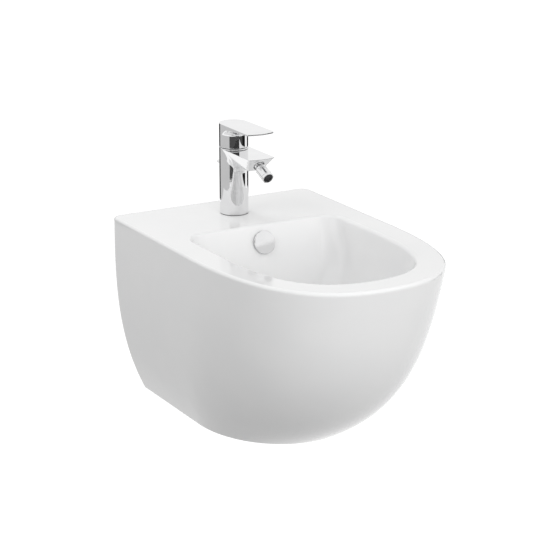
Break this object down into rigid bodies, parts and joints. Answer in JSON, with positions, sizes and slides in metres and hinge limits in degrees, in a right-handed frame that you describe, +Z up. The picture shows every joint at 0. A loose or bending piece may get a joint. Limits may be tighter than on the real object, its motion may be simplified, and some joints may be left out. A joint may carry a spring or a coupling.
{
  "type": "wall-hung bidet",
  "caption": "Wall-hung ceramic bidet with a single-lever deck mixer, swivelling nozzle, overflow and pop-up waste worked by a lift rod.",
  "frame": {"origin": "on the wall, midway between the two fixing holes", "axes": "+X to the right seen from the front, -Y out of the wall towards the user, +Z up"},
  "size_m": [0.36, 0.5455, 0.447],
  "materials": {
    "glazed_ceramic": "white glaze, glossy",
    "polished_chrome": "mirror-polished plating",
    "satin_chrome": "plain plating",
    "plated_steel": "zinc plated",
    "raw_brass": "turned",
    "black_rubber": "matt",
    "white_plastic": "moulded",
    "grey_plastic": "moulded",
    "black_plastic": "moulded"
  },
  "bodies": {
    "root": {"ceramic_body": "glazed_ceramic", "fixing_sleeves": "white_plastic", "overflow_grommet": "grey_plastic", "overflow_cover": "polished_chrome", "mixer_body": "polished_chrome", "base_seal": "black_rubber", "fixing_stud": "plated_steel", "deck_gasket": "black_rubber", "deck_washer": "plated_steel", "stud_nut": "raw_brass", "cartridge_seals": "black_rubber", "cartridge_body": "grey_plastic", "cartridge_nut": "raw_brass", "cartridge_dome": "satin_chrome", "swivel_socket": "polished_chrome", "flange_seal": "black_rubber", "waste_flange": "polished_chrome", "lower_seal": "black_rubber", "waste_nut": "raw_brass", "waste_body": "raw_brass", "pivot_nut": "raw_brass", "tailpiece": "satin_chrome", "tail_nut": "raw_brass"},
    "carrier": {"cartridge_carrier": "white_plastic", "spindle_pin": "plated_steel"},
    "handle": {"spindle": "raw_brass", "handle": "polished_chrome", "grub_screw": "plated_steel", "screw_cap": "grey_plastic"},
    "nozzle_seat": {"seat_ring": "white_plastic"},
    "nozzle": {"swivel_ball": "polished_chrome", "nozzle_sleeve": "polished_chrome", "aerator_insert": "black_plastic"},
    "lift_rod": {"lift_rod": "satin_chrome", "lift_knob": "polished_chrome", "rod_clamp": "raw_brass", "clamp_screw": "plated_steel"},
    "pivot_lever": {"pivot_lever": "satin_chrome"},
    "plug": {"plug": "polished_chrome"}
  },
  "joints": [
    {"name": "handle_turn", "type": "hinge", "parent": "root", "child": "carrier", "pos_m": [0, -0.08, 0.176], "axis": [0, 0, 1], "range_deg": [-45, 45]},
    {"name": "handle_lift", "type": "hinge", "parent": "carrier", "child": "handle", "pos_m": [0, -0.08, 0.176], "axis": [-1, 0, 0], "range_deg": [0, 18]},
    {"name": "nozzle_turn", "type": "hinge", "parent": "root", "child": "nozzle_seat", "pos_m": [0, -0.157, 0.175], "axis": [0, -0.9903, -0.1392], "range_deg": [-60, 60]},
    {"name": "nozzle_tilt", "type": "hinge", "parent": "nozzle_seat", "child": "nozzle", "pos_m": [0, -0.157, 0.175], "axis": [-1, 0, 0], "range_deg": [-4, 12]},
    {"name": "rod_lift", "type": "slide", "parent": "root", "child": "lift_rod", "axis": [0, 0, 1], "range_m": [0, 0.026]},
    {"name": "lever_swing", "type": "hinge", "parent": "root", "child": "pivot_lever", "pos_m": [0, -0.242, -0.134], "axis": [1, 0, 0], "range_deg": [0, 8.49]},
    {"name": "plug_travel", "type": "slide", "parent": "root", "child": "plug", "axis": [0, 0, 1], "range_m": [-0.00491, 0]}
  ],
  "couplings": [
    {"joint": "lever_swing", "follows": "rod_lift", "rad_per_m": 5.6657},
    {"joint": "plug_travel", "follows": "rod_lift", "ratio": -0.18697}
  ]
}
